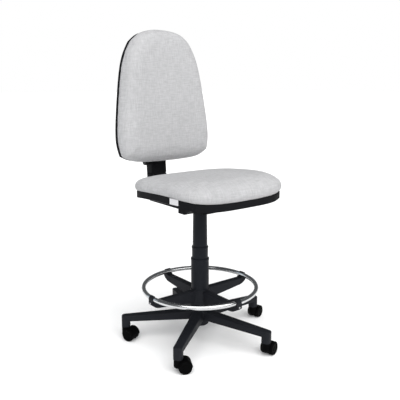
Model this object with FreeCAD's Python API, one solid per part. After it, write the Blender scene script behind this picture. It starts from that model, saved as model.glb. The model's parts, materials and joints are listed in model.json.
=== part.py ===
import FreeCAD, Part
import os
from math import cos, pi, radians, sin, tan

# Drafting chair, in millimetres. The chair faces -Y, +X is the sitter's left and +Z is up.
# The origin is the point on the floor straight below the column's axis.

# Star base and casters
ARM_COUNT = 5
ARM_FIRST_DEG = -53.0        # azimuth of the first arm, from -Y towards +X
ARM_RADIUS = 298.5           # column axis to caster swivel axis
ARM_ROOT = 15.0              # distance from the axis where an arm is drawn from, inside the hub
ARM_WIDTH_ROOT = 42.0
ARM_FLARE = 2.0              # how much wider an arm's foot is than its top, each side, at the root
ARM_TOP_ROOT = 121.5
ARM_TOP_TIP = 99.5
ARM_UNDER_ROOT = 87.0
ARM_UNDER_TIP = 78.0
ARM_WALL = 4.0
ARM_ROUNDING = 5.0
LEG_BOTTOM = 53.5
LEG_RADIUS = 17.0            # half the leg's width
LEG_ROUNDING = 12.0
STAR_HUB_BOTTOM = 60.0
STAR_HUB_TOP = 127.0
STAR_HUB_RADIUS = 37.0
WHEEL_RADIUS = 25.0
WHEEL_WIDTH = 19.8
WHEEL_GAP = 12.6             # clear space between the two wheels, where the hood's web stands
CASTER_TRAIL = 22.5
HOOD_BOTTOM = 19.0
HOOD_WIDTH = 45.0            # of the guard over the wheels
HOOD_WALL = 1.8
HOOD_GAP = 0.5               # clearance of the guard over the wheels
STEM_RADIUS = 5.5
STEM_BOTTOM = 44.0           # clear of the wheels, which reach in under the swivel axis
STEM_SOCKET = 33.0           # depth of the stem's hole in the leg
AXLE_RADIUS = 4.0
CASTER_HEADINGS = (-27.0, 16.0, 17.0, -50.0, -68.0)   # direction in which each caster trails, from +X

# Gas lift
TUBE_RADIUS = 25.0
TUBE_TOP = 340.0
TUBE_WALL = 2.0
CYLINDER_RADIUS = 14.0
CYLINDER_WALL = 2.0
CYLINDER_BOTTOM = 194.0
CYLINDER_TOP = 548.0
ROD_RADIUS = 5.0
ROD_TOP = 307.0
BUSH_LENGTH = 80.0

# Telescopic column covers
COVER_FOOT = 127.0
LOWER_COVER_TOP = 337.0
LOWER_COVER_RADIUS = 35.4
MIDDLE_COVER_TOP = 385.0
MIDDLE_COVER_RADIUS = 32.2
MIDDLE_COVER_LENGTH = 200.0
UPPER_COVER_TOP = 521.0
UPPER_COVER_RADIUS = 29.0
UPPER_COVER_NECK = 27.2
UPPER_COVER_FOOT = 301.0
COVER_WALL = 1.7
COVER_RIM = 9.0              # height of the thicker rim at the top of a cover

# Footrest ring
RING_RADIUS = 224.5
RING_TUBE = 9.0
RING_HEIGHT = 218.0
FOOT_HUB_RADIUS = 40.5
FOOT_HUB_TOP = 207.0
SPOKE_COUNT = 4
SPOKE_WIDTH = 28.0
SPOKE_TOP = 207.5
SPOKE_DEPTH_ROOT = 49.0
SPOKE_DEPTH_TIP = 29.0
RING_WALL = 1.5
SADDLE_TOP = 212.0           # how far the spoke's tip rises round the underside of the ring
STRAP_WIDTH = 23.0
STRAP_THICK = 3.0
STRAP_BOTTOM = 197.0
STRAP_SCREW_Z = 202.5

# Seat
SEAT_HALF_WIDTH = 234.0
SEAT_HALF_DEPTH = 219.0
SEAT_CENTRE_Y = -46.0
SEAT_SQUARENESS = 4.0        # exponent of the superellipse that the seat's plan follows
SEAT_RIM = 630.0             # highest point of the border between cushion and shell
SEAT_RIM_PEAK_Y = -89.0
SEAT_DROP_REAR = 27.0
SEAT_DROP_FRONT = 21.0
SEAT_SHELL_BAND = 25.0       # height of the shell's side below its border
SEAT_FLOOR = 570.3
SEAT_SHELL_WALL = 3.0
SEAT_PAN_WALL = 9.0
CUSHION_EDGE = 672.0         # height of the cushion's top edge at its middle
CUSHION_RISE = 13.5          # how much higher the top edge is at the front than there, and lower at the rear
CUSHION_SAG = 7.4            # how much lower it is at the front and rear for its roundness
CUSHION_CROWN = 8.8
CUSHION_BULGE = 8.8          # how far the cushion's side stands out
CUSHION_ROUND_REAR = 12.0
CUSHION_ROUND_FRONT = 45.0
ARMREST_X = 150.0
ARMREST_Y = -55.0
ARMREST_SPACING = 100.0
ARMREST_FACE = 574.5         # height of the flat faces that an armrest bolts against
INSERT_BORE = 3.3
INSERT_RADIUS = 5.5
INSERT_LENGTH = 12.0
BOSS_RADIUS = 9.0
LABEL_Y = -152.0
LABEL_WIDTH = 42.0
LABEL_DROP = 21.0
BOLT_PATTERN_X = 150.0
BOLT_PATTERN_Y = 180.0
BOLT_PATTERN_CENTRE_Y = 10.0

# Mechanism under the seat
HOUSING_HALF_WIDTH = 45.0
HOUSING_FRONT = -75.0
HOUSING_REAR = 76.0
HOUSING_BOTTOM = 533.0
HOUSING_TOP = 570.0
PLATE = 2.5
PIVOT_Y = 58.0
PIVOT_Z = 541.0
PIN_RADIUS = 6.0
LEVER_PIVOT_X = 26.0
LEVER_Z = 556.5
LEVER_RADIUS = 3.5
TILT_ROD_Y = 30.0
TILT_ROD_Z = 553.0
TILT_ROD_RADIUS = 4.0

# Spine and back
BACK_TILT = 4.2              # degrees that the back leans rearwards
SPINE_WIDTH = 74.0
SPINE_DEPTH = 46.0
SPINE_OFFSET = 85.5          # back's middle plane to the spine's centre line
SPINE_UNDER = 520.0
SPINE_ROOF = 554.0
SPINE_COVER_FRONT = 92.0
SPINE_COVER_TOP = 640.0
SPINE_WALL = 2.5
SLEEVE_TOP = 862.0
SLEEVE_LID = 6.0
BAR_WIDTH = 40.0
BAR_THICK = 8.0
BAR_LEVEL = 537.0            # height of the bar's centre line under the seat
BAR_BEND = 30.0
BAR_TOP = 846.0
BAR_START_Y = 82.0
BRACKET_REAR = 132.0
BAR_BOLTS_Y = (96.0, 118.0)
KNOB_Z = 696.0
KNOB_RADIUS = 15.0
BACK_CENTRE_Y = 238.0
BACK_CENTRE_Z = 961.0
BACK_HALF_HEIGHT = 258.0
BACK_HALF_WIDTH = 196.0
BACK_TAPER = 0.195
BACK_BULGE = 0.048
BACK_SQUARE_TOP = 3.6        # exponents of the superellipse that the outline follows
BACK_SQUARE_FOOT = 6.3
BACK_PAD_REAR = 30.0         # middle plane to the cushion's rear face
BACK_CROWN = 4.0
BACK_SECTION = ((0.0, 15.0), (0.0, 0.0), (-4.0, -13.5), (-13.0, -27.0))    # (growth, depth) round the edge
BACK_FRONT = (-24.0, -34.0)
BACK_SHELL_BAND = 14.0
BACK_SHELL_DISH = 12.0
BACK_SHELL_WALL = 3.0
BACK_BOARD_WALL = 8.0

RUN = 0.05                   # radial clearance of a shaft that turns in its hole
GAP = 0.4                    # clearance between bodies that move past each other

X_AXIS = FreeCAD.Vector(1, 0, 0)
Y_AXIS = FreeCAD.Vector(0, 1, 0)
Z_AXIS = FreeCAD.Vector(0, 0, 1)
nodes = {}


# ---------------------------------------------------------------- helpers

def vec(x, y, z):
    return FreeCAD.Vector(x, y, z)


def cylinder(radius, start, length, axis=Z_AXIS):
    return Part.makeCylinder(radius, length, start, axis)


def ring(outer, inner, low, high):
    """A plain tube about the column's axis."""
    return cylinder(outer, vec(0, 0, low), high - low).cut(
        cylinder(inner, vec(0, 0, low - 1), high - low + 2))


def block(x, y, z):
    """A box from (low, high) pairs along each axis."""
    return Part.makeBox(x[1] - x[0], y[1] - y[0], z[1] - z[0], vec(x[0], y[0], z[0]))


def turned(profile, centre=vec(0, 0, 0)):
    """A solid turned about the vertical axis through centre, from (radius, height) points."""
    points = [vec(r, 0, z) for r, z in profile]
    face = Part.Face(Part.makePolygon(points + points[:1]))
    solid = face.revolve(vec(0, 0, 0), Z_AXIS, 360)
    solid.translate(centre)
    return solid


def softened(solid, radius, picked):
    """The solid with a rounding on the edges that picked accepts."""
    edges = [edge for edge in solid.Edges if picked(edge)]
    return solid.makeFillet(radius, edges)


def rounded_box(x, y, z, radius):
    box = block(x, y, z)
    return box.makeFillet(radius, box.Edges)


def upright(edge):
    a, b = edge.Vertexes[0].Point, edge.Vertexes[-1].Point
    return abs(a.x - b.x) < 1e-6 and abs(a.y - b.y) < 1e-6 and abs(a.z - b.z) > 1e-6


def fused(first, *others):
    solid = first.fuse(list(others)) if others else first
    return solid.removeSplitter()


def leaned(shape):
    """Tilt a shape drawn on the upright back about the back's own centre."""
    shape.rotate(vec(0, BACK_CENTRE_Y, BACK_CENTRE_Z), X_AXIS, -BACK_TILT)
    return shape


def squircle(u, v, power):
    """Map the square -1..1 onto a superellipse, so that one smooth patch covers it."""
    share = 0.48
    x = u * (1 - share * abs(v) ** power) ** (1 / power)
    y = v * (1 - share * abs(u) ** power) ** (1 / power)
    return x, y


def patch(place, count=13):
    """A cubic surface whose control points are place(u, v) over the square -1..1."""
    steps = [-1 + 2 * i / (count - 1) for i in range(count)]
    poles = [[place(u, v) for v in steps] for u in steps]
    knots = [i / (count - 3) for i in range(count - 2)]
    mults = [4] + [1] * (count - 4) + [4]
    surface = Part.BSplineSurface()
    surface.buildFromPolesMultsKnots(poles, mults, mults, knots, knots, False, False, 3, 3)
    return surface


def border(surface):
    low_u, high_u, low_v, high_v = surface.bounds()
    return [surface.uIso(low_u).toShape(), surface.uIso(high_u).toShape(),
            surface.vIso(low_v).toShape(), surface.vIso(high_v).toShape()]


def quilt(surfaces):
    """A closed solid whose skin runs through the patches in order, joined edge to edge."""
    faces = [surfaces[0].toShape(), surfaces[-1].toShape()]
    for lower, upper in zip(surfaces, surfaces[1:]):
        for one, other in zip(border(lower), border(upper)):
            faces.append(Part.makeRuledSurface(one, other))
    shell = Part.Shell(faces)
    shell.sewShape()
    solid = Part.Solid(shell)
    if solid.Volume < 0:
        solid.reverse()
    return solid


# ---------------------------------------------------------------- star base

def arm_azimuth(index):
    return radians(ARM_FIRST_DEG + 360.0 / ARM_COUNT * index)


def arm_direction(index):
    azimuth = arm_azimuth(index)
    return vec(sin(azimuth), -cos(azimuth), 0)


def arm_section(along, half_top, half_foot, top, foot):
    """Trapezium across an arm that runs along +X."""
    points = [vec(along, -half_top, top), vec(along, half_top, top),
              vec(along, half_foot, foot), vec(along, -half_foot, foot)]
    return Part.makePolygon(points + points[:1])


def arm_levels(along):
    """Height of an arm's top and of its underside at a distance along it."""
    share = (along - ARM_ROOT) / (ARM_RADIUS + LEG_RADIUS - ARM_ROOT)
    return (ARM_TOP_ROOT + (ARM_TOP_TIP - ARM_TOP_ROOT) * share,
            ARM_UNDER_ROOT + (ARM_UNDER_TIP - ARM_UNDER_ROOT) * share)


def star_arm():
    """One arm along +X: a tapered channel, open below, with a square leg at its tip."""
    tip = ARM_RADIUS + LEG_RADIUS
    neck = ARM_RADIUS - LEG_RADIUS
    half_root = ARM_WIDTH_ROOT / 2
    outer = Part.makeLoft([
        arm_section(ARM_ROOT, half_root, half_root + ARM_FLARE, *arm_levels(ARM_ROOT)),
        arm_section(neck, LEG_RADIUS, LEG_RADIUS, *arm_levels(neck)),
        arm_section(tip, LEG_RADIUS, LEG_RADIUS, *arm_levels(tip))], True, True)
    outer = softened(outer, LEG_ROUNDING, lambda edge: upright(edge) and edge.BoundBox.XMin > ARM_RADIUS)
    outer = softened(outer, ARM_ROUNDING, lambda edge: edge.BoundBox.ZMin > ARM_TOP_TIP - 0.5
                     and edge.BoundBox.YLength < LEG_RADIUS and not upright(edge))
    leg = block((neck, tip), (-LEG_RADIUS, LEG_RADIUS), (LEG_BOTTOM, ARM_UNDER_TIP + 5))
    arm = fused(outer, softened(leg, LEG_ROUNDING, upright))
    wall_root, wall_end = half_root - ARM_WALL, LEG_RADIUS - ARM_WALL
    end = neck - ARM_WALL
    inner = Part.makeLoft([
        arm_section(ARM_ROOT, wall_root, wall_root + ARM_FLARE, ARM_TOP_ROOT - ARM_WALL, LEG_BOTTOM),
        arm_section(end, wall_end, wall_end, arm_levels(end)[0] - ARM_WALL, LEG_BOTTOM)], True, True)
    rib = block((60, neck), (-1.5, 1.5), (ARM_UNDER_ROOT + 4, ARM_TOP_TIP - 2))
    return arm.cut(inner).fuse(rib)


def base_star():
    hub = turned([(0, STAR_HUB_BOTTOM), (STAR_HUB_RADIUS - 5, STAR_HUB_BOTTOM),
                  (STAR_HUB_RADIUS - 2, STAR_HUB_BOTTOM + 3), (STAR_HUB_RADIUS + 3, STAR_HUB_TOP - 4),
                  (STAR_HUB_RADIUS, STAR_HUB_TOP), (0, STAR_HUB_TOP)])
    arms = []
    for index in range(ARM_COUNT):
        arm = star_arm()
        arm.rotate(vec(0, 0, 0), Z_AXIS, ARM_FIRST_DEG - 90 + 360.0 / ARM_COUNT * index)
        arms.append(arm)
    star = hub.fuse(arms)
    star = star.cut(cylinder(TUBE_RADIUS, vec(0, 0, STAR_HUB_BOTTOM - 1), 200))
    for index in range(ARM_COUNT):
        foot = arm_direction(index) * ARM_RADIUS + vec(0, 0, LEG_BOTTOM - 1)
        star = star.cut(cylinder(STEM_RADIUS, foot, STEM_SOCKET + 2))
    return star


# ---------------------------------------------------------------- casters

def caster_pose(shape, index, swivel):
    """Carry a caster drawn at the origin, trailing along +X, to its arm, turned to its own heading."""
    shape.rotate(vec(0, 0, 0), Z_AXIS, swivel)
    shape.translate(arm_direction(index) * ARM_RADIUS)
    return shape


def caster_hood():
    """The caster's housing: a round body under the leg, a web between the wheels and a guard over them."""
    web_half = WHEEL_GAP / 2 - GAP
    wheel_room = WHEEL_RADIUS + HOOD_GAP
    top = LEG_BOTTOM - 0.6
    axle = vec(CASTER_TRAIL, 0, WHEEL_RADIUS)
    body = cylinder(LEG_RADIUS, vec(0, 0, HOOD_BOTTOM), top - HOOD_BOTTOM)
    body = softened(body, 8.0, lambda edge: edge.BoundBox.ZMax < HOOD_BOTTOM + 1)
    guard = cylinder(wheel_room + HOOD_WALL, axle - Y_AXIS * HOOD_WIDTH / 2, HOOD_WIDTH, Y_AXIS)
    guard = guard.common(block((-60, 60), (-60, 60), (WHEEL_RADIUS, top)))
    web = cylinder(WHEEL_RADIUS - 2, axle - Y_AXIS * web_half, 2 * web_half, Y_AXIS)
    hood = fused(body, guard, web)
    for side in (-1, 1):
        room = cylinder(wheel_room, axle + Y_AXIS * side * web_half, 40, Y_AXIS * side)
        hood = hood.cut(room)
    hood = hood.cut(cylinder(STEM_RADIUS + RUN, vec(0, 0, STEM_BOTTOM - GAP), 60))
    return hood.cut(cylinder(AXLE_RADIUS, axle - Y_AXIS * 20, 40, Y_AXIS))


def caster_wheel(side):
    """One wheel of a pair: a tyre-shaped rim with a dished outer face and a hub for the axle."""
    inside, outside = WHEEL_GAP / 2, WHEEL_GAP / 2 + WHEEL_WIDTH
    profile = [(AXLE_RADIUS + RUN, inside), (WHEEL_RADIUS - 1.5, inside), (WHEEL_RADIUS, inside + 1.5),
               (WHEEL_RADIUS, outside - 5), (WHEEL_RADIUS - 1.2, outside - 1.8),
               (WHEEL_RADIUS - 4, outside), (WHEEL_RADIUS - 6, outside),
               (WHEEL_RADIUS - 7.5, outside - 1.5), (9, outside - 1.5), (8, outside),
               (0, outside), (0, outside - 3), (AXLE_RADIUS + RUN, outside - 3)]
    wheel = turned(profile)
    wheel.rotate(vec(0, 0, 0), X_AXIS, -90 * side)
    wheel.translate(vec(CASTER_TRAIL, 0, WHEEL_RADIUS))
    return wheel


def make_casters():
    stems = []
    for index in range(ARM_COUNT):
        heading = CASTER_HEADINGS[index]
        name = "caster_%d_" % (index + 1)
        nodes[name + "hood"] = caster_pose(caster_hood(), index, heading)
        half_axle = WHEEL_GAP / 2 + WHEEL_WIDTH - 3.4
        axle = cylinder(AXLE_RADIUS, vec(CASTER_TRAIL, -half_axle, WHEEL_RADIUS), 2 * half_axle, Y_AXIS)
        nodes[name + "axle"] = caster_pose(axle, index, heading)
        nodes[name + "wheel_a"] = caster_pose(caster_wheel(1), index, heading)
        nodes[name + "wheel_b"] = caster_pose(caster_wheel(-1), index, heading)
        stem = cylinder(STEM_RADIUS, vec(0, 0, STEM_BOTTOM), LEG_BOTTOM + STEM_SOCKET - STEM_BOTTOM)
        stem = softened(stem, 1.0, lambda edge: edge.BoundBox.ZLength < 1e-6)
        stem.translate(arm_direction(index) * ARM_RADIUS)
        stems.append(stem)
    nodes["caster_stems"] = Part.makeCompound(stems)


# ---------------------------------------------------------------- gas lift

def make_lift():
    tube_inside = TUBE_RADIUS - TUBE_WALL
    floor = STAR_HUB_BOTTOM + 5
    tube = ring(TUBE_RADIUS, tube_inside, STAR_HUB_BOTTOM, TUBE_TOP)
    nodes["stand_tube"] = fused(tube, ring(TUBE_RADIUS - 1, ROD_RADIUS + 0.2, STAR_HUB_BOTTOM, floor))
    nodes["guide_bush"] = ring(tube_inside, CYLINDER_RADIUS + RUN, TUBE_TOP - BUSH_LENGTH, TUBE_TOP - 1)

    washer = ring(14.0, ROD_RADIUS + 0.5, floor, floor + 1.5)
    balls = []
    for step in range(10):
        angle = 2 * pi * step / 10
        balls.append(Part.makeSphere(2.0, vec(10 * cos(angle), 10 * sin(angle), floor + 3.5)))
    upper_washer = ring(14.0, ROD_RADIUS + 0.5, floor + 5.5, floor + 7.0)
    nodes["lift_bearing"] = Part.makeCompound([washer, upper_washer] + balls)
    nodes["bump_stop"] = ring(12.0, ROD_RADIUS, floor + 7.3, floor + 12.5)
    rod = cylinder(ROD_RADIUS, vec(0, 0, STAR_HUB_BOTTOM - 5), ROD_TOP - STAR_HUB_BOTTOM + 5)
    groove = ring(ROD_RADIUS + 1, ROD_RADIUS - 1, STAR_HUB_BOTTOM - 2, STAR_HUB_BOTTOM - 0.5)
    piston = cylinder(CYLINDER_RADIUS - CYLINDER_WALL - RUN, vec(0, 0, ROD_TOP - 10), 10)
    nodes["piston_rod"] = rod.fuse(piston).cut(groove)
    clip = ring(11.0, ROD_RADIUS - 1, STAR_HUB_BOTTOM - 2, STAR_HUB_BOTTOM - 0.5)
    nodes["retaining_clip"] = clip.cut(block((0, 12), (-2, 2), (40, 60)))

    bore = CYLINDER_RADIUS - CYLINDER_WALL
    cone_top = CYLINDER_RADIUS - 0.8
    body = turned([(0, CYLINDER_BOTTOM), (CYLINDER_RADIUS - 1, CYLINDER_BOTTOM),
                   (CYLINDER_RADIUS, CYLINDER_BOTTOM + 1), (CYLINDER_RADIUS, UPPER_COVER_TOP),
                   (cone_top, CYLINDER_TOP), (0, CYLINDER_TOP)])
    body = body.cut(cylinder(bore, vec(0, 0, CYLINDER_BOTTOM + 20), CYLINDER_TOP - CYLINDER_BOTTOM - 50))
    body = body.cut(cylinder(ROD_RADIUS + RUN, vec(0, 0, CYLINDER_BOTTOM - 1), 30))
    body = body.cut(cylinder(4.0 + RUN, vec(0, 0, CYLINDER_TOP - 20), 30))
    nodes["gas_cylinder"] = body
    button = cylinder(4.0, vec(0, 0, CYLINDER_TOP - 12), 16.5)
    nodes["release_button"] = softened(button, 0.8, lambda edge: edge.BoundBox.ZMin > CYLINDER_TOP)


def make_covers():
    """Three telescopic covers, each with a thicker rim round its top."""
    inside = LOWER_COVER_RADIUS - COVER_WALL
    lip = LOWER_COVER_RADIUS + 0.9
    nodes["cover_lower"] = turned([
        (inside, COVER_FOOT), (LOWER_COVER_RADIUS, COVER_FOOT),
        (LOWER_COVER_RADIUS, LOWER_COVER_TOP - COVER_RIM), (lip, LOWER_COVER_TOP - COVER_RIM + 1),
        (lip, LOWER_COVER_TOP - 1.5), (lip - 1.3, LOWER_COVER_TOP), (inside, LOWER_COVER_TOP)])
    inside = MIDDLE_COVER_RADIUS - COVER_WALL
    foot = MIDDLE_COVER_TOP - MIDDLE_COVER_LENGTH
    body = MIDDLE_COVER_RADIUS - 0.5
    nodes["cover_middle"] = turned([
        (inside, foot), (body, foot), (body, MIDDLE_COVER_TOP - COVER_RIM),
        (MIDDLE_COVER_RADIUS + 0.5, MIDDLE_COVER_TOP - COVER_RIM + 1),
        (MIDDLE_COVER_RADIUS + 0.5, MIDDLE_COVER_TOP - 1.5),
        (MIDDLE_COVER_RADIUS - 0.8, MIDDLE_COVER_TOP), (inside, MIDDLE_COVER_TOP)])
    nodes["cover_upper"] = turned([
        (UPPER_COVER_RADIUS - COVER_WALL, UPPER_COVER_FOOT), (UPPER_COVER_RADIUS, UPPER_COVER_FOOT),
        (UPPER_COVER_RADIUS, MIDDLE_COVER_TOP), (UPPER_COVER_NECK, UPPER_COVER_TOP - 1),
        (UPPER_COVER_NECK - 1, UPPER_COVER_TOP), (CYLINDER_RADIUS + 0.1, UPPER_COVER_TOP),
        (CYLINDER_RADIUS + 0.1, UPPER_COVER_TOP - 2), (UPPER_COVER_NECK - COVER_WALL, UPPER_COVER_TOP - 2),
        (UPPER_COVER_RADIUS - COVER_WALL, MIDDLE_COVER_TOP)])


# ---------------------------------------------------------------- footrest

def footring_spoke():
    """One spoke along +X: a deep box whose underside rises in a curve to the ring."""
    root, tip = 20.0, RING_RADIUS + RING_TUBE + 1
    knee = RING_RADIUS - 32
    under_root = SPOKE_TOP - SPOKE_DEPTH_ROOT
    under_tip = SPOKE_TOP - SPOKE_DEPTH_TIP
    nose_low = STRAP_BOTTOM - 1
    nose_start = vec(knee, 0, under_tip)
    nose_end = vec(tip, 0, nose_low)
    side = Part.Face(Part.Wire([
        Part.makeLine(vec(root, 0, under_root), nose_start),
        Part.Arc(nose_start, vec(RING_RADIUS - 6, 0, under_tip + 6), nose_end).toShape(),
        Part.makeLine(nose_end, vec(tip, 0, SPOKE_TOP)),
        Part.makeLine(vec(tip, 0, SPOKE_TOP), vec(root, 0, SPOKE_TOP)),
        Part.makeLine(vec(root, 0, SPOKE_TOP), vec(root, 0, under_root))]))
    side.translate(vec(0, -SPOKE_WIDTH / 2, 0))
    spoke = side.extrude(vec(0, SPOKE_WIDTH, 0))
    saddle = block((RING_RADIUS - 13, tip), (-SPOKE_WIDTH / 2, SPOKE_WIDTH / 2), (SPOKE_TOP - 2, SADDLE_TOP))
    spoke = fused(spoke, saddle)
    return softened(spoke, 2.5, lambda edge: edge.BoundBox.YLength < 0.01
                    and edge.BoundBox.XMin > root - 1 and edge.BoundBox.XLength > RING_TUBE)


def footring_strap():
    """The strap that holds the ring down: hooked over the tube from outside, screwed to the spoke's tip."""
    half = STRAP_WIDTH / 2
    outside = RING_RADIUS + RING_TUBE + STRAP_THICK
    hook = Part.makeTorus(RING_RADIUS, RING_TUBE + STRAP_THICK, vec(0, 0, RING_HEIGHT), Z_AXIS)
    hook = hook.common(block((RING_RADIUS - 2, outside), (-half, half), (RING_HEIGHT, RING_HEIGHT + 20)))
    leg = block((RING_RADIUS + RING_TUBE + 1.2, outside), (-half, half), (STRAP_BOTTOM, RING_HEIGHT))
    shoulder = block((RING_RADIUS + RING_TUBE - 3, outside), (-half, half), (SADDLE_TOP + 0.3, RING_HEIGHT))
    return softened(fused(hook, leg, shoulder), 0.8, lambda edge: edge.BoundBox.ZMax < STRAP_BOTTOM + 0.1)


def around(shape, count, index):
    copy = shape.copy()
    copy.rotate(vec(0, 0, 0), Z_AXIS, 360.0 / count * index)
    return copy


def make_footrest():
    bore = LOWER_COVER_RADIUS + 0.3
    collar, neck = FOOT_HUB_RADIUS + 1, FOOT_HUB_RADIUS - 2
    hub = turned([(bore, STAR_HUB_TOP + 0.5), (collar, STAR_HUB_TOP + 0.5), (collar, FOOT_HUB_TOP - 9),
                  (neck, FOOT_HUB_TOP - 6), (neck, FOOT_HUB_TOP + 3), (neck - 1, FOOT_HUB_TOP + 4.5),
                  (bore, FOOT_HUB_TOP + 4.5)])
    tube = Part.makeTorus(RING_RADIUS, RING_TUBE, vec(0, 0, RING_HEIGHT), Z_AXIS)
    inside = Part.makeTorus(RING_RADIUS, RING_TUBE - RING_WALL, vec(0, 0, RING_HEIGHT), Z_AXIS)
    nodes["footring_tube"] = tube.cut(inside)

    screw_start = vec(RING_RADIUS - 6, 0, STRAP_SCREW_Z)
    face = RING_RADIUS + RING_TUBE + STRAP_THICK
    shank = cylinder(2.0, screw_start, face - screw_start.x, X_AXIS)
    head = cylinder(3.6, vec(face, 0, STRAP_SCREW_Z), 2.0, X_AXIS)
    recess = cylinder(1.5, vec(face + 0.8, 0, STRAP_SCREW_Z), 2.0, X_AXIS)
    screw = shank.fuse(softened(head, 0.8, lambda edge: edge.BoundBox.XMin > face + 1)).cut(recess)
    strap = footring_strap().cut(tube).cut(shank)

    frame = hub.fuse([around(footring_spoke(), SPOKE_COUNT, index) for index in range(SPOKE_COUNT)])
    frame = frame.cut(cylinder(bore, vec(0, 0, STAR_HUB_TOP), FOOT_HUB_TOP)).cut(tube)
    for index in range(SPOKE_COUNT):
        frame = frame.cut(around(shank, SPOKE_COUNT, index))
    nodes["footring_hub"] = frame
    nodes["footring_clamps"] = Part.makeCompound([around(strap, SPOKE_COUNT, i) for i in range(SPOKE_COUNT)])
    nodes["footring_screws"] = Part.makeCompound([around(screw, SPOKE_COUNT, i) for i in range(SPOKE_COUNT)])


# ---------------------------------------------------------------- seat

def seat_rim(y):
    """Height of the border between cushion and shell: arched from front to rear."""
    behind = y > SEAT_RIM_PEAK_Y
    drop = SEAT_DROP_REAR if behind else SEAT_DROP_FRONT
    offset = SEAT_CENTRE_Y - SEAT_RIM_PEAK_Y
    reach = SEAT_HALF_DEPTH + (offset if behind else -offset)
    return SEAT_RIM - drop * ((y - SEAT_RIM_PEAK_Y) / reach) ** 2


def seat_radius(x, y):
    """0 at the seat's middle and 1 on its outline."""
    across, along = abs(x) / SEAT_HALF_WIDTH, abs(y - SEAT_CENTRE_Y) / SEAT_HALF_DEPTH
    return min((across ** SEAT_SQUARENESS + along ** SEAT_SQUARENESS) ** (1 / SEAT_SQUARENESS), 1)


def seat_bowl(x, y, floor, edge, power):
    """Height of a bowl that is at floor in the middle and at the rim plus edge on the outline."""
    return floor + (seat_rim(y) + edge - floor) * seat_radius(x, y) ** power


def seat_patch(grown, height):
    """The surface z = height(x, y) over the seat's plan, grown outwards."""
    def place(u, v):
        across, along = squircle(u, v, SEAT_SQUARENESS)
        x = across * (SEAT_HALF_WIDTH + grown)
        y = SEAT_CENTRE_Y + along * (SEAT_HALF_DEPTH + grown)
        return vec(x, y, height(x, y))
    return patch(place)


def bowl_patch(grown, floor, edge, power):
    return seat_patch(grown, lambda x, y: seat_bowl(x, y, floor, edge, power))


def rim_patch(grown, edge):
    return seat_patch(grown, lambda x, y: seat_rim(y) + edge)


def cushion_patch(share):
    """The cushion's side at a share of its height from the rim to the top edge, crowned inside."""
    shoulder = 0.1
    turned_in = 1 - (1 - max(0, (share - shoulder) / (1 - shoulder)) ** 2) ** 0.5

    def place(u, v):
        across, along = squircle(u, v, SEAT_SQUARENESS)
        rounding = CUSHION_ROUND_REAR + (CUSHION_ROUND_FRONT - CUSHION_ROUND_REAR) * (1 - along) / 2
        grown = CUSHION_BULGE * sin(pi * share) - rounding * turned_in
        y = SEAT_CENTRE_Y + along * SEAT_HALF_DEPTH
        low = seat_rim(y) + 0.4
        high = CUSHION_EDGE - CUSHION_RISE * along - CUSHION_SAG * along ** 2
        radius = seat_radius(across * SEAT_HALF_WIDTH, y)
        return vec(across * (SEAT_HALF_WIDTH + grown), SEAT_CENTRE_Y + along * (SEAT_HALF_DEPTH + grown),
                   low + (high - low) * share + CUSHION_CROWN * (1 - radius ** 2.5))
    return patch(place)


def mechanism_holes():
    return [(sx * BOLT_PATTERN_X / 2, BOLT_PATTERN_CENTRE_Y + sy * BOLT_PATTERN_Y / 2)
            for sx in (-1, 1) for sy in (-1, 1)]


def armrest_holes():
    return [(sx * ARMREST_X, ARMREST_Y + sy * ARMREST_SPACING / 2) for sx in (-1, 1) for sy in (-1, 1)]


def make_seat():
    shell_top = SEAT_FLOOR + SEAT_SHELL_WALL
    pan_low = shell_top + 1
    pan_edge = -SEAT_PAN_WALL - 2
    shell = quilt([
        bowl_patch(0, SEAT_FLOOR, -SEAT_SHELL_BAND, 4),
        rim_patch(0, -0.4),
        rim_patch(-SEAT_SHELL_WALL, -0.4),
        bowl_patch(-SEAT_SHELL_WALL, shell_top, -SEAT_SHELL_BAND + SEAT_SHELL_WALL, 4)])
    pan = quilt([
        bowl_patch(-7, pan_low, pan_edge, 3),
        bowl_patch(-7, pan_low + SEAT_PAN_WALL, -1.5, 3)])
    sides = [cushion_patch(share) for share in (0.0, 0.2, 0.4, 0.6, 0.8, 0.93, 1.0)]
    underside = bowl_patch(-7, pan_low + SEAT_PAN_WALL + 2, 0.4, 3)
    nodes["seat_pad"] = quilt([underside, rim_patch(-SEAT_SHELL_WALL - 0.6, 0.4)] + sides)

    inserts = []
    faces = {place: HOUSING_TOP for place in mechanism_holes()}
    faces.update({place: ARMREST_FACE for place in armrest_holes()})
    for (x, y), low in faces.items():
        high = seat_bowl(x, y, pan_low, pan_edge, 3) + SEAT_PAN_WALL / 2
        shell = shell.cut(cylinder(BOSS_RADIUS + 0.3, vec(x, y, low - 50), 100))
        pan = pan.fuse(cylinder(BOSS_RADIUS, vec(x, y, low), high - low))
        insert = cylinder(INSERT_RADIUS, vec(x, y, low), INSERT_LENGTH)
        pan = pan.cut(insert)
        inserts.append(insert.cut(cylinder(INSERT_BORE, vec(x, y, low), INSERT_LENGTH)))
    nodes["seat_shell"] = shell
    nodes["seat_pan"] = pan
    nodes["seat_inserts"] = Part.makeCompound(inserts)
    nodes["seat_bolts"] = Part.makeCompound([seat_bolt(x, y) for x, y in mechanism_holes()])
    nodes["seat_label"] = seat_label()


def seat_bolt(x, y):
    """A socket-headed bolt that comes up through the housing's plate."""
    plate_low = HOUSING_TOP - PLATE
    shank = cylinder(3.0, vec(x, y, plate_low), 12)
    head = cylinder(6.0, vec(x, y, plate_low - 4), 4)
    head = softened(head, 0.8, lambda edge: edge.BoundBox.ZMax < plate_low - 3)
    return shank.fuse(head).cut(cylinder(2.5, vec(x, y, plate_low - 4), 2.5))


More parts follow.
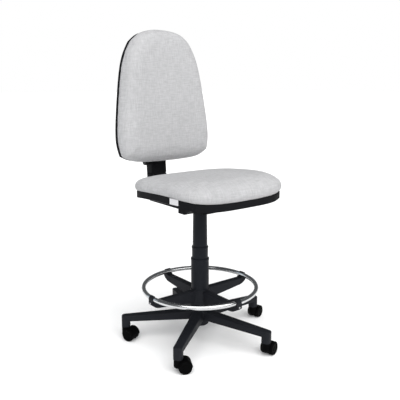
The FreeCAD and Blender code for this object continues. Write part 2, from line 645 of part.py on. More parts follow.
def seat_label():
    """A blank cloth tag that hangs from the border on the sitter's right."""
    front, rear = LABEL_Y - LABEL_WIDTH / 2, LABEL_Y + LABEL_WIDTH / 2
    corners = []
    for y, below in ((front, 0), (rear, 0), (rear, LABEL_DROP), (front, LABEL_DROP)):
        v = (y - SEAT_CENTRE_Y) / SEAT_HALF_DEPTH
        x = -SEAT_HALF_WIDTH * (1 - abs(v) ** SEAT_SQUARENESS) ** (1 / SEAT_SQUARENESS) - 0.9
        corners.append(vec(x, y, seat_rim(LABEL_Y) - below))
    tag = Part.Face(Part.makePolygon(corners + corners[:1]))
    return tag.extrude(vec(-0.8, 0, 0))


# ---------------------------------------------------------------- mechanism

def side_face(points):
    """A flat face in the plane x = 0 from (y, z) points."""
    corners = [vec(0, y, z) for y, z in points]
    return Part.Face(Part.makePolygon(corners + corners[:1]))


def across(points, half_width):
    """A side outline made into a solid that spans -half_width to +half_width."""
    face = side_face(points)
    face.translate(vec(-half_width, 0, 0))
    return face.extrude(vec(2 * half_width, 0, 0))


def crosswise_at(y, z):
    """Accepts the edge that runs along X through (y, z)."""
    def picked(edge):
        box = edge.BoundBox
        return (box.YLength < 1e-3 and box.ZLength < 1e-3 and box.XLength > 1
                and abs(box.YMin - y) < 0.5 and abs(box.ZMin - z) < 0.5)
    return picked


def make_mechanism():
    half = HOUSING_HALF_WIDTH
    roof = HOUSING_TOP - PLATE
    plate = block((-86, 86), (-92, 112), (roof, HOUSING_TOP))
    plate = softened(plate, 12.0, upright)
    for x, y in mechanism_holes():
        plate = plate.cut(cylinder(INSERT_BORE, vec(x, y, 500), 200))
    walls = block((-half, half), (HOUSING_FRONT, HOUSING_REAR), (HOUSING_BOTTOM, roof))
    walls = walls.cut(block((-half + PLATE, half - PLATE), (HOUSING_FRONT + PLATE, HOUSING_REAR + 1),
                            (HOUSING_BOTTOM + PLATE, roof)))
    walls = walls.cut(block((-half + PLATE, half - PLATE), (34, HOUSING_REAR + 1), (500, roof)))
    socket = cylinder(21.0, vec(0, 0, UPPER_COVER_TOP + 1), CYLINDER_TOP - UPPER_COVER_TOP - 3)
    ears = block((LEVER_PIVOT_X - 5, LEVER_PIVOT_X + 5), (-11, 11), (LEVER_Z - 5.5, roof))
    ears = ears.cut(block((0, 60), (-8.3, 8.3), (500, 600)))
    housing = fused(plate, walls, socket, ears)
    cone = turned([(0, UPPER_COVER_TOP), (CYLINDER_RADIUS, UPPER_COVER_TOP),
                   (CYLINDER_RADIUS - 0.8, CYLINDER_TOP), (0, CYLINDER_TOP)])
    trunnion = cylinder(2.5 + RUN, vec(LEVER_PIVOT_X, -20, LEVER_Z), 40, Y_AXIS)
    lever_slot = block((30, 60), (-5.5, 5.5), (LEVER_Z - 5, roof))
    tilt_hole = cylinder(TILT_ROD_RADIUS + RUN, vec(-60, TILT_ROD_Y, TILT_ROD_Z), 120, X_AXIS)
    pin_hole = cylinder(PIN_RADIUS, vec(-60, PIVOT_Y, PIVOT_Z), 120, X_AXIS)
    for tool in (cone, trunnion, lever_slot, tilt_hole, pin_hole):
        housing = housing.cut(tool)
    nodes["mech_housing"] = housing

    nodes["pivot_pin"] = cylinder(PIN_RADIUS, vec(-half + 0.1, PIVOT_Y, PIVOT_Z), 2 * half - 0.2, X_AXIS)
    nodes["tilt_spring"] = tilt_spring()
    nodes["mech_cover"] = mechanism_cover()


def mechanism_cover():
    """A plastic tray under the housing, deeper at the rear where the back's bracket swings."""
    low_front, low_rear, lip = 529.5, 508.5, 562.0
    wall = 2.6
    front, rear = HOUSING_FRONT - wall - 1, HOUSING_REAR + 3
    tray = across([(front, lip), (front, low_front), (2, low_front), (14, low_front - 5),
                   (40, low_rear), (rear, low_rear), (rear, lip)], HOUSING_HALF_WIDTH + wall)
    tray = softened(tray, 2.0, lambda edge: edge.BoundBox.ZMax < lip - 0.5)
    inside = across([(front + wall, lip + 5), (front + wall, low_front + wall), (4, low_front + wall),
                     (16, low_front - 5 + wall), (41, low_rear + wall), (rear - wall, low_rear + wall),
                     (rear - wall, lip + 5)], HOUSING_HALF_WIDTH)
    tray = tray.cut(inside)
    tray = tray.cut(cylinder(UPPER_COVER_NECK + 1.2, vec(0, 0, low_rear - 5), 100))
    tray = tray.cut(block((-41, 41), (rear - 10, rear + 10), (low_rear + wall, 600)))
    tray = tray.cut(block((30, 60), (-7, 7), (LEVER_Z - 6, 600)))
    return tray.cut(block((-60, 60), (TILT_ROD_Y - 5, TILT_ROD_Y + 5), (TILT_ROD_Z - 5, 600)))


def tilt_spring():
    """A torsion spring round the pivot pin, in the room between the bracket and the wall."""
    wire, coil, turns = 1.6, 9.0, 3.5
    pitch = 2 * wire + 0.4
    start = 28.0
    helix = Part.makeHelix(pitch, pitch * turns, coil)
    section = Part.Wire(Part.makeCircle(wire, vec(coil, 0, 0), Y_AXIS))
    spring = Part.Wire(helix).makePipeShell([section], True, True)
    spring.rotate(vec(0, 0, 0), Y_AXIS, 90)
    spring.translate(vec(start, PIVOT_Y, PIVOT_Z))
    return spring


def make_levers():
    """Two levers on the sitter's left: seat height in front, back lock behind it."""
    elbow = vec(62, 0, LEVER_Z)
    outer = vec(150, 0, LEVER_Z - 8)
    inner = cylinder(LEVER_RADIUS, vec(-5, 0, LEVER_Z), elbow.x + 5, X_AXIS)
    slope = outer - elbow
    rod = cylinder(LEVER_RADIUS, elbow, slope.Length, slope)
    knuckle = Part.makeSphere(LEVER_RADIUS, elbow)
    trunnion = cylinder(2.5, vec(LEVER_PIVOT_X, -11, LEVER_Z), 22, Y_AXIS)
    grip = rounded_box((138, 214), (-15, 15), (LEVER_Z - 14, LEVER_Z - 3), 5.0)
    nodes["gas_lever"] = fused(inner, knuckle, rod, trunnion, grip)

    shaft = cylinder(TILT_ROD_RADIUS, vec(-HOUSING_HALF_WIDTH - 2, TILT_ROD_Y, TILT_ROD_Z), 150, X_AXIS)
    cam = cylinder(8.5, vec(-14, TILT_ROD_Y - 2.5, TILT_ROD_Z), 28, X_AXIS)
    handle = rounded_box((98, 172), (TILT_ROD_Y - 7, TILT_ROD_Y + 26), (TILT_ROD_Z - 5, TILT_ROD_Z + 5), 4.5)
    nodes["tilt_lever"] = fused(shaft, cam, handle)


# ---------------------------------------------------------------- spine

def spine_y(z):
    """The spine's centre line: leaned with the back, so further back the higher it is."""
    lean = radians(BACK_TILT)
    return BACK_CENTRE_Y + SPINE_OFFSET / cos(lean) + (z - BACK_CENTRE_Z) * tan(lean)


def make_spine():
    half_depth = SPINE_DEPTH / 2 / cos(radians(BACK_TILT))
    top = SPINE_COVER_TOP

    def outline(shrink, high, start):
        front, rear = -half_depth + shrink, half_depth - shrink
        low, roof = SPINE_UNDER + shrink, SPINE_ROOF - shrink
        return [(start, roof), (spine_y(roof) + front, roof), (spine_y(high) + front, high),
                (spine_y(high) + rear, high), (spine_y(low) + rear, low), (start, low)]

    outer = outline(0, top, SPINE_COVER_FRONT)
    cover = across(outer, SPINE_WIDTH / 2)
    cover = softened(cover, 16.0, crosswise_at(*outer[4]))
    cover = softened(cover, 14.0, crosswise_at(*outer[1]))
    cover = softened(cover, 6.0, lambda edge: edge.BoundBox.XLength < 0.01
                     and edge.BoundBox.YMin > SPINE_COVER_FRONT + 0.5 or edge.BoundBox.XLength < 0.01
                     and edge.BoundBox.YLength > 60)
    inner = across(outline(SPINE_WALL, top + 5, SPINE_COVER_FRONT - 5), SPINE_WIDTH / 2 - SPINE_WALL)
    nodes["spine_cover"] = cover.cut(inner)

    lean = radians(BACK_TILT)
    turn = pi / 2 - lean
    corner = vec(0, spine_y(BAR_LEVEL), BAR_LEVEL)
    rise = vec(0, sin(lean), cos(lean))
    cut_back = BAR_BEND * tan(turn / 2)
    before = corner - Y_AXIS * cut_back
    after = corner + rise * cut_back
    centre = before + Z_AXIS * BAR_BEND
    middle = centre + vec(0, sin(turn / 2), -cos(turn / 2)) * BAR_BEND
    start = vec(0, BAR_START_Y, BAR_LEVEL)
    end = vec(0, spine_y(BAR_TOP), BAR_TOP)
    path = Part.Wire([Part.makeLine(start, before), Part.Arc(before, middle, after).toShape(),
                      Part.makeLine(after, end)])
    w, t = BAR_WIDTH / 2, BAR_THICK / 2
    corners = [start + vec(x, 0, z) for x, z in ((-w, -t), (w, -t), (w, t), (-w, t))]
    section = Part.makePolygon(corners + corners[:1])
    bar = Part.Solid(path.makePipeShell([section], True, False))

    nose = cylinder(12.0, vec(-24, PIVOT_Y, PIVOT_Z), 48, X_AXIS)
    body = block((-24, 24), (PIVOT_Y, BRACKET_REAR), (BAR_LEVEL - 9, BAR_LEVEL + 13))
    bracket = fused(nose, body)
    pocket = block((-BAR_WIDTH / 2, BAR_WIDTH / 2), (BAR_START_Y, BRACKET_REAR + 1),
                   (BAR_LEVEL - BAR_THICK / 2, BAR_LEVEL + BAR_THICK / 2))
    bracket = bracket.cut(pocket)
    bracket = bracket.cut(cylinder(PIN_RADIUS + RUN, vec(-30, PIVOT_Y, PIVOT_Z), 60, X_AXIS))
    bolts = []
    for y in BAR_BOLTS_Y:
        hole = cylinder(4.0, vec(0, y, 500), 100)
        bar = bar.cut(hole)
        bracket = bracket.cut(hole)
        bolt = cylinder(4.0, vec(0, y, BAR_LEVEL - 9 - 3), 26)
        head = cylinder(6.5, vec(0, y, BAR_LEVEL - 9 - 4), 4)
        bolts.append(bolt.fuse(head))
    nodes["spine_bar"] = bar
    nodes["back_bracket"] = bracket
    nodes["bar_bolts"] = Part.makeCompound(bolts)


# ---------------------------------------------------------------- back

def back_patch(grown, depth, dish, power):
    """A surface over the back's outline: depth behind the middle plane at its border, dish more inside."""
    def place(u, v):
        square = BACK_SQUARE_FOOT + (BACK_SQUARE_TOP - BACK_SQUARE_FOOT) * (v + 1) / 2
        across, up = squircle(u, v, square)
        radius = min((abs(across) ** square + abs(up) ** square) ** (1 / square), 1)
        width = BACK_HALF_WIDTH * (1 - BACK_TAPER * up - BACK_BULGE * up * up) + grown
        return vec(across * width, BACK_CENTRE_Y + depth + dish * (1 - radius ** power),
                   BACK_CENTRE_Z + up * (BACK_HALF_HEIGHT + grown))
    return patch(place)


def make_back():
    rear = BACK_PAD_REAR
    edge = [back_patch(grown, depth, 0, 4) for grown, depth in BACK_SECTION]
    nodes["back_pad"] = leaned(quilt(
        [back_patch(-1, rear, 0, 4)] + edge + [back_patch(*BACK_FRONT, -BACK_CROWN, 4)]))
    board = quilt([
        back_patch(-9, rear + 0.5, 0, 4),
        back_patch(-9, rear + 0.5 + BACK_BOARD_WALL, 0, 4)])
    shell = quilt([
        back_patch(-BACK_SHELL_WALL - 1, rear - 1.5 + BACK_SHELL_BAND - BACK_SHELL_WALL, BACK_SHELL_DISH, 4),
        back_patch(-BACK_SHELL_WALL - 1, rear + 0.4, 0, 4),
        back_patch(-1, rear + 0.4, 0, 4),
        back_patch(-1, rear - 1.5 + BACK_SHELL_BAND, BACK_SHELL_DISH, 4)])
    window = block((-63, 63), (BACK_CENTRE_Y + rear + 9, BACK_CENTRE_Y + 90), (762, 878))
    shell = shell.cut(softened(window, 12.0, lambda edge: edge.BoundBox.YLength > 10))

    centre = BACK_CENTRE_Y + SPINE_OFFSET
    half = SPINE_DEPTH / 2
    board_rear = BACK_CENTRE_Y + rear + 0.5 + BACK_BOARD_WALL
    sleeve = block((-SPINE_WIDTH / 2, SPINE_WIDTH / 2), (centre - half, centre + half),
                   (SPINE_COVER_TOP - 5, SLEEVE_TOP))
    sleeve = softened(sleeve, 6.0, upright)
    sleeve = softened(sleeve, 3.0, lambda edge: edge.BoundBox.ZMin > SLEEVE_TOP - 1)
    neck = block((-30, 30), (board_rear + 5, centre - half + 2), (776, 856))
    flange = block((-58, 58), (board_rear, board_rear + 6), (768, 872))
    flange = softened(flange, 10.0, lambda edge: edge.BoundBox.YLength > 5)
    carriage = fused(sleeve, neck, flange)
    carriage = carriage.cut(block((-BAR_WIDTH / 2 - GAP, BAR_WIDTH / 2 + GAP),
                                  (centre - BAR_THICK / 2 - GAP, centre + BAR_THICK / 2 + GAP),
                                  (SPINE_COVER_TOP - 10, SLEEVE_TOP - SLEEVE_LID)))
    stud_hole = cylinder(4.0 + RUN, vec(-80, centre, KNOB_Z), 62, X_AXIS)
    carriage = carriage.cut(stud_hole)
    screws = []
    for x in (-46, 46):
        for z in (786, 854):
            hole = cylinder(3.0, vec(x, board_rear - 7, z), 20, Y_AXIS)
            carriage = carriage.cut(hole)
            board = board.cut(hole)
            head = cylinder(5.5, vec(x, board_rear + 6, z), 3.2, Y_AXIS)
            head = head.cut(cylinder(2.2, vec(x, board_rear + 7.2, z), 3, Y_AXIS))
            screws.append(cylinder(3.0, vec(x, board_rear - 7, z), 13, Y_AXIS).fuse(head))
    nodes["back_board"] = leaned(board)
    nodes["back_shell"] = leaned(shell)
    under = block((-SPINE_WIDTH, SPINE_WIDTH), (0, 2 * centre), (0, SPINE_COVER_TOP + 1.0))
    nodes["back_carriage"] = leaned(carriage).cut(under)
    nodes["back_screws"] = leaned(Part.makeCompound(screws))
    nodes["height_knob"] = leaned(height_knob(centre))


def height_knob(centre):
    """A lobed hand knob on the sitter's right; its stud bears on the edge of the spine's bar."""
    outside = -SPINE_WIDTH / 2 - 1.0
    thick = 22.0
    body = cylinder(KNOB_RADIUS, vec(outside - thick, centre, KNOB_Z), thick, X_AXIS)
    body = softened(body, 3.0, lambda edge: edge.BoundBox.XMax < outside - thick + 1)
    lobes = 8
    for index in range(lobes):
        angle = 2 * pi * index / lobes
        flute = vec(outside - thick - 1, centre + (KNOB_RADIUS + 1.6) * cos(angle),
                    KNOB_Z + (KNOB_RADIUS + 1.6) * sin(angle))
        body = body.cut(cylinder(3.4, flute, thick + 2, X_AXIS))
    stud = cylinder(4.0, vec(outside - 2, centre, KNOB_Z), 2 - outside - BAR_WIDTH / 2 - 1.0, X_AXIS)
    return body.fuse(stud)


make_casters()
nodes["base_star"] = base_star()
make_lift()
make_covers()
make_footrest()
make_mechanism()
make_seat()
make_levers()
make_spine()
make_back()

os.makedirs("parts", exist_ok=True)
for name, shape in nodes.items():
    shape.exportStep("parts/%s.step" % name)
    solids = shape.Solids
    print("%-20s solids %d valid %s volume %.1f cm3" % (
        name, len(solids), shape.isValid(), sum(s.Volume for s in solids) / 1000))
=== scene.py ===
import bpy
import json
from math import cos, pi, radians, sin
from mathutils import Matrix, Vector


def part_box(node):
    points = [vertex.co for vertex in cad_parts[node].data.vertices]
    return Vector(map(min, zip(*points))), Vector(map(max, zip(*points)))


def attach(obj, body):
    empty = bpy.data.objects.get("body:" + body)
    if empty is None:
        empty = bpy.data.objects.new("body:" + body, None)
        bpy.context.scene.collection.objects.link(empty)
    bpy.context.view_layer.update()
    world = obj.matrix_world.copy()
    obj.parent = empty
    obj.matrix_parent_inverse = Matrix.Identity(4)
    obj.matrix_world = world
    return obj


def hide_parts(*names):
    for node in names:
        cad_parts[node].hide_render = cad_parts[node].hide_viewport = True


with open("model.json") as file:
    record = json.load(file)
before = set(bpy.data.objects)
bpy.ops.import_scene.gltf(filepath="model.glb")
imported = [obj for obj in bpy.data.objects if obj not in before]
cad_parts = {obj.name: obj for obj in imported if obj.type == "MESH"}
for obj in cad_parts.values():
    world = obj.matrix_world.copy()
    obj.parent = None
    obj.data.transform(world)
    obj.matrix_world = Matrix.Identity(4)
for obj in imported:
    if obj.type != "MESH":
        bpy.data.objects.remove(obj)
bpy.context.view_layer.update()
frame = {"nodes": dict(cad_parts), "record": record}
nodes = frame["nodes"]
record = frame["record"]

# ------------------------------------------------------------------ camera, floor and light

CAMERA_AZIMUTH = radians(-38)
CAMERA_ELEVATION = radians(11.87)
CAMERA_DISTANCE = 2.141
CAMERA_TARGET = Vector((0, 0, 0.5691))
CAMERA_LENS = 49.7          # mm, on a sensor 36 mm wide
FLOOR_HALF = 60.0           # far enough that its edge can't be told from the backdrop

BACKDROP = 1.0              # strength of the white room as the camera sees it
ROOM_LIGHT = 0.47           # as it lights the chair and the floor
REFLECTED_ROOM = 0.14       # as glossy surfaces mirror it
KEY_DIRECTION = (-0.22, -0.60, 0.77)
KEY_SPREAD = 80             # degrees across, so that shadows are soft
KEY_STRENGTH = 3.4
SIDE_PLACE = (-1.9, 2.4, 1.3)
SIDE_SIZE = 1.6
SIDE_POWER = 6
SIDE_TINT = (0.75, 0.88, 1)

# How far the record's colours are lowered under this bright light
FABRIC_SHADE = 0.8
LABEL_SHADE = 0.75
CHROME_SHADE = 0.8
CASTER_SHADE = 0.4

SLUB_RUN = 32.0             # thick and thin stretches of thread per metre
SEAT_THREAD = 0.0016
LABEL_THREAD = 0.0005

# Cushions, in metres
VOXEL = 0.005
LET_OUT = 0.0015            # how much the cover is let out before it is blown up
SWELL = 0.003               # the most that the cloth may then move
PRESSURE = 4.0
SMOOTHING = 12


def link(name, data):
    thing = bpy.data.objects.new(name, data)
    bpy.context.scene.collection.objects.link(thing)
    return thing


def make_camera():
    data = bpy.data.cameras.new("camera")
    data.lens = CAMERA_LENS
    data.sensor_width = 36
    camera = link("camera", data)
    level = cos(CAMERA_ELEVATION)
    away = Vector((sin(CAMERA_AZIMUTH) * level, -cos(CAMERA_AZIMUTH) * level, sin(CAMERA_ELEVATION)))
    camera.location = CAMERA_TARGET + away * CAMERA_DISTANCE
    camera.rotation_euler = (-away).to_track_quat("-Z", "Y").to_euler()
    bpy.context.scene.camera = camera


def area_light(name, place, size, power, tint):
    data = bpy.data.lights.new(name, "AREA")
    data.shape = "DISK"
    data.size = size
    data.energy = power
    data.color = tint
    light = link(name, data)
    light.location = place
    light.rotation_euler = (CAMERA_TARGET - Vector(place)).to_track_quat("-Z", "Y").to_euler()


def sun_light(name, direction, spread, strength):
    """A wide, even light from a direction, which lies over the whole floor alike."""
    data = bpy.data.lights.new(name, "SUN")
    data.angle = radians(spread)
    data.energy = strength
    light = link(name, data)
    light.rotation_euler = Vector(direction).to_track_quat("Z", "Y").to_euler()


def make_world():
    """A plain white backdrop; its light on the object is softer, and its reflection dimmer still."""
    world = bpy.data.worlds.new("studio")
    world.use_nodes = True
    tree = world.node_tree
    path = tree.nodes.new("ShaderNodeLightPath")
    shown = tree.nodes["Background"]
    shown.inputs["Color"].default_value = (1, 1, 1, 1)
    shown.inputs["Strength"].default_value = ROOM_LIGHT
    for ray, strength, tint in (("Is Glossy Ray", REFLECTED_ROOM, (0.94, 0.97, 1, 1)),
                                ("Is Camera Ray", BACKDROP, (1, 1, 1, 1))):
        seen = tree.nodes.new("ShaderNodeBackground")
        seen.inputs["Color"].default_value = tint
        seen.inputs["Strength"].default_value = strength
        choice = tree.nodes.new("ShaderNodeMixShader")
        tree.links.new(path.outputs[ray], choice.inputs[0])
        tree.links.new(shown.outputs[0], choice.inputs[1])
        tree.links.new(seen.outputs[0], choice.inputs[2])
        shown = choice
    tree.links.new(shown.outputs[0], tree.nodes["World Output"].inputs["Surface"])
    bpy.context.scene.world = world


def make_floor():
    corners = [(sx * FLOOR_HALF, sy * FLOOR_HALF, 0) for sx, sy in ((-1, -1), (1, -1), (1, 1), (-1, 1))]
    mesh = bpy.data.meshes.new("floor")
    mesh.from_pydata(corners, [], [(0, 1, 2, 3)])
    paint = Paint("floor_paint")
    paint.set("Base Color", (0.99, 0.99, 0.99, 1))
    paint.set("Roughness", 1.0)
    paint.set("Specular IOR Level", 0.0)
    mesh.materials.append(paint.material)
    link("floor", mesh)


# ------------------------------------------------------------------ materials

class Paint:
    """One procedural material, built node by node in object coordinates, which are metres."""

    def __init__(self, name):
        self.material = bpy.data.materials.new(name)
        self.material.use_nodes = True
        self.tree = self.material.node_tree
        self.shader = self.tree.nodes["Principled BSDF"]
        source = self.tree.nodes.new("ShaderNodeTexCoord")
        self.place = source.outputs["Object"]
        self.facing = source.outputs["Normal"]

    def feed(self, socket, value):
        if isinstance(value, bpy.types.NodeSocket):
            self.tree.links.new(value, socket)
        else:
            socket.default_value = value

    def set(self, socket, value):
        self.feed(self.shader.inputs[socket], value)

    def node(self, kind, inputs, **settings):
        made = self.tree.nodes.new(kind)
        for key, value in settings.items():
            setattr(made, key, value)
        for key, value in inputs.items():
            self.feed(made.inputs[key], value)
        return made

    def math(self, operation, *values):
        return self.node("ShaderNodeMath", dict(enumerate(values)), operation=operation).outputs[0]

    def times(self, *values):
        product = values[0]
        for value in values[1:]:
            product = self.math("MULTIPLY", product, value)
        return product

    def plus(self, *values):
        total = values[0]
        for value in values[1:]:
            total = self.math("ADD", total, value)
        return total

    def split(self, vector):
        return self.node("ShaderNodeSeparateXYZ", {0: vector}).outputs

    def joined(self, x, y, z):
        return self.node("ShaderNodeCombineXYZ", {0: x, 1: y, 2: z}).outputs[0]

    def noise(self, scale, detail=2.0, vector=None):
        made = self.node("ShaderNodeTexNoise", {"Scale": scale, "Detail": detail})
        self.feed(made.inputs["Vector"], self.place if vector is None else vector)
        return made.outputs["Fac"]

    def cells(self, scale):
        return self.node("ShaderNodeTexVoronoi", {"Scale": scale, "Vector": self.place}).outputs["Distance"]

    def spread(self, value, low, high, start=0.0, end=1.0):
        """The value carried from start..end to low..high, and held there beyond it."""
        made = self.node("ShaderNodeMapRange", {0: value, 1: start, 2: end, 3: low, 4: high})
        return made.outputs[0]

    def mix(self, share, first, second):
        made = self.node("ShaderNodeMix", {0: share, 6: (*first, 1) if isinstance(first, tuple) else first,
                                           7: (*second, 1)}, data_type="RGBA")
        return made.outputs[2]

    def bump(self, height, distance, strength):
        made = self.node("ShaderNodeBump", {"Height": height, "Distance": distance, "Strength": strength})
        return made.outputs["Normal"]

    def edges(self, radius):
        """1 along sharp outside and inside edges, 0 on the open surface."""
        rounded = self.node("ShaderNodeBevel", {"Radius": radius}, samples=4).outputs[0]
        plain = self.node("ShaderNodeNewGeometry", {}).outputs["Normal"]
        compared = self.node("ShaderNodeVectorMath", {0: rounded, 1: plain}, operation="DOT_PRODUCT")
        return self.spread(compared.outputs["Value"], 1.0, 0.0, 0.75, 0.98)


def shade(colour, factor):
    return tuple(channel * factor for channel in colour)


def plastic(name, colour, roughness, grain, specular, wear=0.5):
    """Moulded plastic: fine spark-eroded grain, uneven gloss, and edges that have been rubbed lighter."""
    paint = Paint(name)
    cloud = paint.noise(14, 3)
    rubbed = paint.times(paint.edges(0.0012), paint.spread(paint.noise(90, 3), 0.0, wear, 0.35, 0.75))
    body = paint.mix(cloud, shade(colour, 0.8), shade(colour, 1.2))
    worn = tuple(channel + 0.02 for channel in colour)
    paint.set("Base Color", paint.mix(rubbed, body, worn))
    smear = paint.spread(paint.noise(45, 4), roughness - 0.07, roughness + 0.07, 0.3, 0.7)
    paint.set("Roughness", paint.math("SUBTRACT", smear, paint.times(rubbed, 0.12)))
    paint.set("Specular IOR Level", specular)
    pits = paint.cells(1 / grain)
    lumps = paint.noise(0.6 / grain, 2)
    paint.set("Normal", paint.bump(paint.plus(pits, lumps), grain * 0.12, 0.5))
    return paint.material


def metal(name, colour, roughness, brushed=0.0, stain=0.15):
    """Plated or polished metal, with faint smudges and, if brushed, fine turning lines."""
    paint = Paint(name)
    smudge = paint.noise(30, 4)
    stained = paint.spread(smudge, 0.0, 1.0, 0.4, 0.75)
    paint.set("Base Color", paint.mix(stained, colour, shade(colour, 1 - stain)))
    paint.set("Metallic", 1.0)
    paint.set("Roughness", paint.spread(smudge, roughness * 0.7, roughness * 1.5, 0.3, 0.7))
    x, y, z = paint.split(paint.place)
    lines = paint.noise(1.0, 2, paint.joined(paint.times(x, 60), paint.times(y, 60), paint.times(z, 4000)))
    ripple = paint.noise(18, 1)
    height = paint.plus(paint.times(lines, brushed), ripple)
    paint.set("Normal", paint.bump(height, 0.00012, 0.35))
    return paint.material


def powder_coat(name, colour):
    """Black powder coat: orange peel, with chips of bare steel at the edges."""
    paint = Paint(name)
    chips = paint.times(paint.edges(0.0008), paint.spread(paint.noise(140, 3), 0.0, 1.0, 0.58, 0.64))
    coat = paint.mix(paint.noise(25, 2), shade(colour, 0.8), shade(colour, 1.3))
    paint.set("Base Color", paint.mix(chips, coat, (0.25, 0.25, 0.26)))
    paint.set("Metallic", chips)
    paint.set("Roughness", paint.spread(paint.noise(60, 3), 0.34, 0.5, 0.3, 0.7))
    paint.set("Normal", paint.bump(paint.noise(420, 2), 0.0002, 0.4))
    return paint.material


def rubber(name, colour):
    paint = Paint(name)
    dust = paint.noise(60, 4)
    paint.set("Base Color", paint.mix(paint.spread(dust, 0.0, 0.5, 0.5, 0.8), colour, (0.09, 0.09, 0.085)))
    paint.set("Roughness", paint.spread(dust, 0.7, 0.9))
    paint.set("Normal", paint.bump(paint.noise(900, 3), 0.0002, 0.4))
    return paint.material


def woven(name, colour, thread, contrast):
    """Plain-woven cloth: threads over and under each other, with slubs along both directions.

    The weave lies in the plane that the surface faces most, so it needs no unwrapping."""
    paint = Paint(name)
    axes = paint.split(paint.place)
    facing = [paint.math("POWER", paint.math("ABSOLUTE", side), 6.0) for side in paint.split(paint.facing)]
    whole = paint.plus(*facing)
    height, tone = 0.0, 0.0
    for face, along, beside in ((2, 0, 1), (1, 0, 2), (0, 1, 2)):
        share = paint.math("DIVIDE", facing[face], whole)
        warp_turn = paint.times(axes[along], pi / thread)
        weft_turn = paint.times(axes[beside], pi / thread)
        warp, weft = paint.math("SINE", warp_turn), paint.math("SINE", weft_turn)
        over = paint.spread(paint.times(warp, weft), 0.0, 1.0, -0.35, 0.35)
        ridge = paint.plus(paint.times(paint.math("ABSOLUTE", warp), over),
                           paint.times(paint.math("ABSOLUTE", weft), paint.math("SUBTRACT", 1.0, over)))
        for run, across, offset in ((along, beside, 0.0), (beside, along, 5.0)):
            slub = paint.joined(paint.times(axes[run], SLUB_RUN), paint.times(axes[across], 0.35 / thread),
                                face + offset)
            tone = paint.plus(tone, paint.times(share, 0.5, paint.noise(1.0, 3, slub)))
        height = paint.plus(height, paint.times(share, ridge))
    streak = paint.spread(tone, 1 - contrast, 1 + contrast, 0.38, 0.62)
    soil = paint.spread(paint.noise(7, 3), 0.97, 1.02, 0.3, 0.7)
    # painted shade: the cloth's colour is darkened where the weave's height is low, in the hollows between
    # the threads
    weave = paint.spread(height, 0.8, 1.04)
    value = paint.times(streak, soil, weave)
    scaled = paint.node("ShaderNodeVectorMath", {0: colour, "Scale": value}, operation="SCALE").outputs[0]
    paint.set("Base Color", scaled)
    paint.set("Roughness", paint.spread(tone, 0.82, 0.95, 0.3, 0.7))
    paint.set("Specular IOR Level", 0.2)
    relief = paint.plus(height, paint.times(tone, 0.8), paint.times(paint.noise(2600, 2), 0.5))
    paint.set("Normal", paint.bump(relief, thread * 0.3, 0.6))
    return paint.material


def make_materials():
    """One material for each slot of the record."""
    colour = {entry["slot"]: tuple(entry["base_color"]) for entry in record["materials"]}
    return {
        "base_nylon": plastic("base_nylon", colour["base_nylon"],
                              roughness=0.5, grain=0.0009, specular=0.09),
        "cover_plastic": plastic("cover_plastic", colour["cover_plastic"],
                                 roughness=0.45, grain=0.0006, specular=0.1, wear=0.3),
        "shell_plastic": plastic("shell_plastic", colour["shell_plastic"],
                                 roughness=0.6, grain=0.0011, specular=0.05),
        "grip_plastic": plastic("grip_plastic", colour["grip_plastic"],
                                roughness=0.5, grain=0.0008, specular=0.18),
        "caster_nylon": plastic("caster_nylon", shade(colour["caster_nylon"], CASTER_SHADE),
                                roughness=0.5, grain=0.0007, specular=0.02, wear=0.1),
        "pan_plastic": plastic("pan_plastic", colour["pan_plastic"],
                               roughness=0.7, grain=0.0015, specular=0.25),
        "white_nylon": plastic("white_nylon", colour["white_nylon"],
                               roughness=0.45, grain=0.0008, specular=0.4, wear=0.1),
        "black_steel": powder_coat("black_steel", colour["black_steel"]),
        "steel": metal("steel", colour["steel"], roughness=0.3, brushed=0.6, stain=0.3),
        "chrome": metal("chrome", shade(colour["chrome"], CHROME_SHADE), roughness=0.16),
        "rubber": rubber("rubber", colour["rubber"]),
        "seat_fabric": woven("seat_fabric", shade(colour["seat_fabric"], FABRIC_SHADE),
                             SEAT_THREAD, contrast=0.11),
        "label_cloth": woven("label_cloth", shade(colour["label_cloth"], LABEL_SHADE),
                             LABEL_THREAD, contrast=0.02),
    }


def dress(materials):
    """Give every CAD node the material of its slot."""
    for part in record["subparts"]:
        mesh = nodes[part["node"]].data
        mesh.materials.clear()
        mesh.materials.append(materials[part["material_slot"]])


# ------------------------------------------------------------------ cushions

def evaluated(piece):
    """A new mesh with the piece's modifiers applied."""
    graph = bpy.context.evaluated_depsgraph_get()
    return bpy.data.meshes.new_from_object(piece.evaluated_get(graph))


def settle(piece):
    piece.data = evaluated(piece)
    piece.modifiers.clear()


def remeshed(piece, voxel):
    remesh = piece.modifiers.new("remesh", "REMESH")
    remesh.mode = "VOXEL"
    remesh.voxel_size = voxel
    settle(piece)


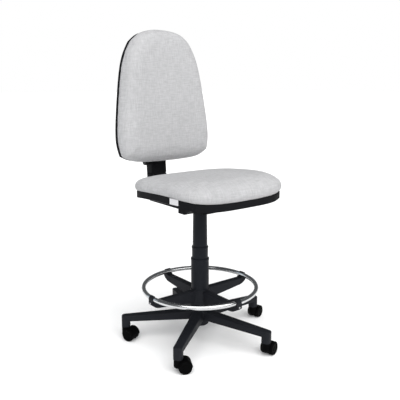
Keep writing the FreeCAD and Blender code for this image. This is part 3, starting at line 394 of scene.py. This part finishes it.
def stuffed(piece, held, pressure, limit, frames=20):
    """Blow the piece up as cloth. held(point) is 1 where the cover is stapled down, 0 where it is free."""
    group = piece.vertex_groups.new(name="held")
    before = [vertex.co.copy() for vertex in piece.data.vertices]
    for index, point in enumerate(before):
        group.add([index], held(point), "REPLACE")
    cloth = piece.modifiers.new("cloth", "CLOTH")
    settings = cloth.settings
    settings.quality = 5
    settings.mass = 0.3
    settings.tension_stiffness = 30
    settings.compression_stiffness = 20
    settings.shear_stiffness = 10
    settings.bending_stiffness = 12
    settings.use_pressure = True
    settings.uniform_pressure_force = pressure
    settings.vertex_group_mass = "held"
    settings.pin_stiffness = 1.0
    settings.effector_weights.gravity = 0
    scene = bpy.context.scene
    for step in range(1, frames + 1):
        scene.frame_set(step)
    blown = evaluated(piece)
    piece.modifiers.clear()
    for vertex, old in zip(piece.data.vertices, before):
        move = blown.vertices[vertex.index].co - old
        if move.length > limit:
            move *= limit / move.length
        vertex.co = old + move
    bpy.data.meshes.remove(blown)
    scene.frame_set(1)


def smoothed(piece, factor, repeat):
    smooth = piece.modifiers.new("smooth", "SMOOTH")
    smooth.factor = factor
    smooth.iterations = repeat
    settle(piece)


def cushion(name, node, body, held, material):
    """The covered foam that stands for a plain CAD pad, let out a little, blown up and smoothed."""
    piece = link(name, nodes[node].data.copy())
    remeshed(piece, VOXEL)
    for vertex in piece.data.vertices:
        vertex.co += vertex.normal * LET_OUT * (1 - held(vertex.co))
    stuffed(piece, held, PRESSURE, SWELL)
    smoothed(piece, 0.5, SMOOTHING)
    subdivide = piece.modifiers.new("subdivide", "SUBSURF")
    subdivide.levels = 1
    subdivide.render_levels = 1
    settle(piece)
    piece.data.materials.clear()
    piece.data.materials.append(material)
    piece.data.shade_smooth()
    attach(piece, body)
    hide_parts(node)


def ramp(value, start, end):
    """0 before start, 1 after end, smooth between."""
    share = min(max((value - start) / (end - start), 0.0), 1.0)
    return share * share * (3 - 2 * share)


def make_cushions(materials):
    fabric = materials["seat_fabric"]
    seat_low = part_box("seat_pad")[0]

    def under_seat(point):
        return 1 - ramp(point.z - seat_low.z, 0.028, 0.04)

    cushion("seat_cushion", "seat_pad", "seat", under_seat, fabric)

    back_low, back_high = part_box("back_board")
    lean = (back_high.y - back_low.y) / (back_high.z - back_low.z)

    def behind_back(point):
        plane = back_low.y + (point.z - back_low.z) * lean
        return ramp(point.y - plane, -0.012, -0.004)

    cushion("back_cushion", "back_pad", "backrest", behind_back, fabric)


make_camera()
make_world()
make_floor()
sun_light("key", KEY_DIRECTION, KEY_SPREAD, KEY_STRENGTH)
area_light("side", SIDE_PLACE, SIDE_SIZE, SIDE_POWER, SIDE_TINT)
bpy.context.scene.view_settings.view_transform = "Standard"
materials = make_materials()
dress(materials)
make_cushions(materials)
